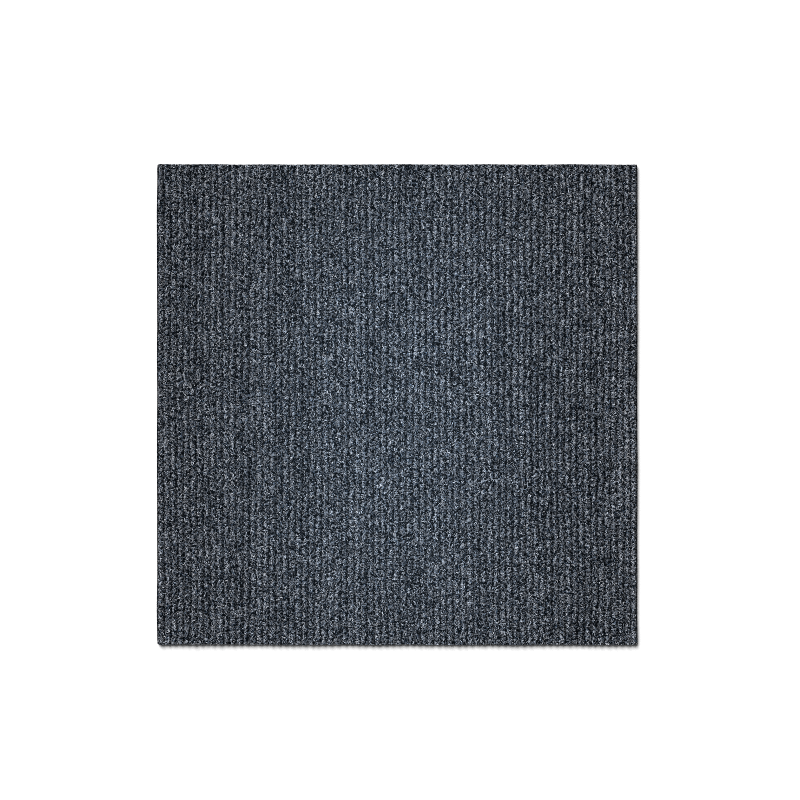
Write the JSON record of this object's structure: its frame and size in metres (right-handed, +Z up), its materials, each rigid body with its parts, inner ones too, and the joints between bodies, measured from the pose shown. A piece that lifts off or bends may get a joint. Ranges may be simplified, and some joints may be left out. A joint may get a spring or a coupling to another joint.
{
  "type": "carpet tile",
  "caption": "Square ribbed carpet tile: a needle-punched, dark heather fibre face with raised parallel ribs, bonded to a flat backing sheet, laid edge to edge as floor covering.",
  "frame": {"origin": "middle of the underside of the backing, on the floor", "axes": "+Z up out of the ribbed face, +Y along the ribs, +X across the ribs"},
  "size_m": [0.4572, 0.4572, 0.0065],
  "materials": {
    "face_fibre": "matte",
    "backing_compound": "matte"
  },
  "bodies": {
    "root": {"ribbed_face": "face_fibre", "backing": "backing_compound"}
  },
  "joints": []
}
